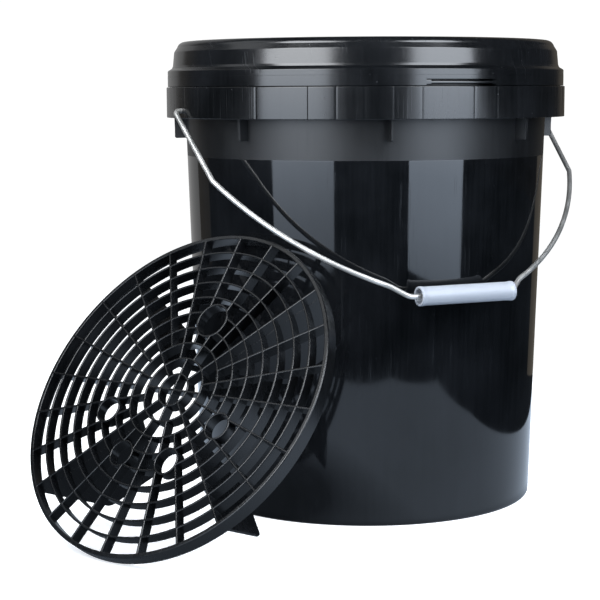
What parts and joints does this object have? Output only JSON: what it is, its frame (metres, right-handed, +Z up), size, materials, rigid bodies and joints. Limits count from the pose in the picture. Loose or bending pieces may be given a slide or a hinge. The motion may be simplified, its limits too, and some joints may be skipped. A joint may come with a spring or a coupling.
{
  "type": "wash bucket with grit guard",
  "caption": "Tapered black pail with press-on lid, wire bail with tube grip, and a round ribbed grit guard leaning on its front.",
  "frame": {"origin": "centre of the pail's base, on the surface it stands on", "axes": "+Z up along the pail's axis, X along the bail's pivot axis, and the bail hangs towards -Y"},
  "size_m": [0.4692, 0.3848, 0.3713],
  "materials": {
    "pail_black": "black polypropylene, polished on the body and satin on the skirt",
    "lid_black": "black polypropylene with a moulded sheen",
    "gasket_grey": "soft foamed rubber",
    "zinc_wire": "bright zinc-plated steel wire",
    "grip_white": "white polyethylene, slightly waxy",
    "guard_black": "black polypropylene, satin gloss"
  },
  "bodies": {
    "pail": {"pail_wall": "pail_black", "pail_floor": "pail_black", "pail_rim_bead": "pail_black", "skirt_flange": "pail_black", "pail_skirt": "pail_black", "skirt_webs": "pail_black", "wall_fins": "pail_black", "ear_boss_left": "pail_black", "ear_boss_right": "pail_black"},
    "lid": {"lid_panel": "lid_black", "lid_plug": "lid_black", "lid_rim": "lid_black", "lid_plug_webs": "lid_black", "lid_gasket": "gasket_grey", "tear_strip": "lid_black", "tear_tab": "lid_black"},
    "bail": {"bail_wire": "zinc_wire"},
    "grip": {"bail_grip": "grip_white"},
    "guard": {"guard_rim": "guard_black", "guard_grid": "guard_black", "guard_thumb_ring": "guard_black", "guard_finger_ring_1": "guard_black", "guard_finger_ring_2": "guard_black", "guard_finger_ring_3": "guard_black", "guard_finger_ring_4": "guard_black", "guard_vane_1": "guard_black", "guard_vane_2": "guard_black", "guard_vane_3": "guard_black", "guard_vane_4": "guard_black"}
  },
  "joints": [
    {"name": "lid_lift", "type": "slide", "parent": "pail", "child": "lid", "axis": [0, 0, 1], "range_m": [0, 0.12]},
    {"name": "bail_swing", "type": "hinge", "parent": "pail", "child": "bail", "pos_m": [0, 0, 0.317], "axis": [-1, 0, 0], "range_deg": [0, 262.4]},
    {"name": "grip_spin", "type": "hinge", "parent": "bail", "child": "grip", "pos_m": [0, -0.15635, 0.18012], "axis": [1, 0, 0], "continuous": true},
    {"name": "guard_lift", "type": "slide", "parent": "pail", "child": "guard", "axis": [-0.7425, -0.3307, 0.5825], "range_m": [0, 0.3]}
  ]
}
